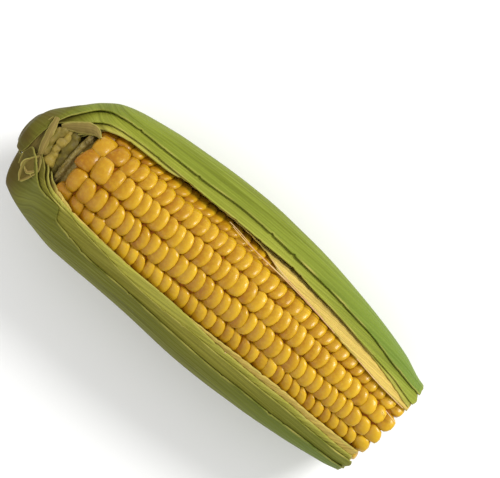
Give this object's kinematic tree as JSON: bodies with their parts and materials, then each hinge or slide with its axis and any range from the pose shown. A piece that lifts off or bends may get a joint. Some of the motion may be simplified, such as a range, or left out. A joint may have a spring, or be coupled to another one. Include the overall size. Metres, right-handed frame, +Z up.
{
  "type": "corn cob",
  "caption": "Fresh sweetcorn cob lying on its green husk, with the husk cut open along the top to show the rows of yellow kernels, and the tip and stalk cut off square.",
  "frame": {"origin": "middle of the ear's bounding box, on the surface that it lies on", "axes": "+X along the ear from the cut stalk to the cut tip, +Y to the left seen from the stalk, +Z up through the opening in the husk"},
  "size_m": [0.173, 0.0669, 0.0543],
  "materials": {
    "kernel": "moist, waxy yellow kernel skin",
    "cob": "dry pale pith",
    "green_husk": "satin green leaf with fine lengthwise ribs",
    "pale_husk": "thin cream inner leaf",
    "silk": "dry brown silk"
  },
  "bodies": {
    "root": {"cob_core": "cob", "kernel_row_01": "kernel", "kernel_row_02": "kernel", "kernel_row_03": "kernel", "kernel_row_04": "kernel", "kernel_row_05": "kernel", "kernel_row_06": "kernel", "kernel_row_07": "kernel", "kernel_row_08": "kernel", "kernel_row_09": "kernel", "kernel_row_10": "kernel", "kernel_row_11": "kernel", "kernel_row_12": "kernel", "kernel_row_13": "kernel", "kernel_row_14": "kernel", "kernel_row_15": "kernel", "kernel_row_16": "kernel", "outer_husk_left": "green_husk", "outer_husk_right": "green_husk", "second_husk_left": "green_husk", "second_husk_right": "green_husk", "third_husk": "green_husk", "inner_husk": "pale_husk", "silk_strand": "silk"}
  },
  "joints": []
}
